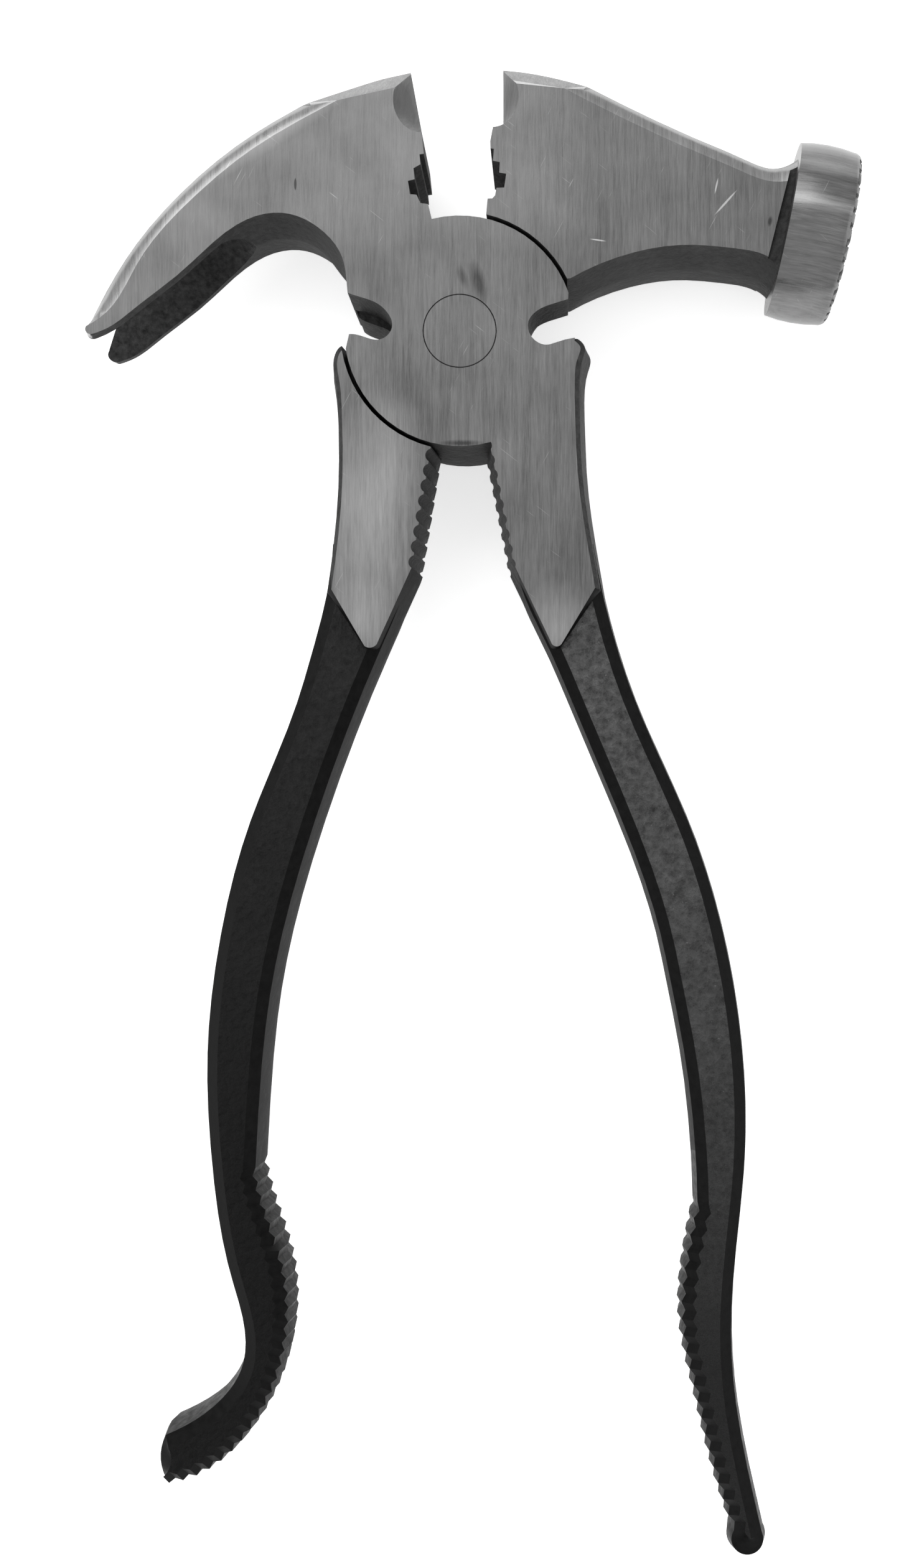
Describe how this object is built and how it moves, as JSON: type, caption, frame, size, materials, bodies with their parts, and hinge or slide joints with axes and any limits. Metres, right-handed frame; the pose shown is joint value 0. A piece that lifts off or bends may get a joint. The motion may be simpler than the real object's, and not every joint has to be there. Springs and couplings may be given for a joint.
{
  "type": "fencing pliers",
  "caption": "Fencing pliers with a split nail claw, a round milled hammer face, pincer jaws, stepped jaw notches and side wire cutters, on forged black handles, one ending in a hook.",
  "frame": {"origin": "on the pivot axis, at the back ground face of the head", "axes": "+Z along the pivot axis from the back face to the front face; +Y towards the jaws, the handles run to -Y; +X towards the hammer head"},
  "size_m": [0.1415, 0.2764, 0.0315],
  "materials": {
    "forged_steel_claw": "ground head, black forged handle",
    "forged_steel_hammer": "ground head, black forged handle",
    "rivet_steel": "ground flush"
  },
  "bodies": {
    "claw_body": {"claw_half": "forged_steel_claw", "pivot_rivet": "rivet_steel"},
    "hammer_body": {"hammer_half": "forged_steel_hammer"}
  },
  "joints": [
    {"name": "pivot", "type": "hinge", "parent": "claw_body", "child": "hammer_body", "pos_m": [0, 0, 0.00925], "axis": [0, 0, 1], "range_deg": [-18, 18]}
  ]
}
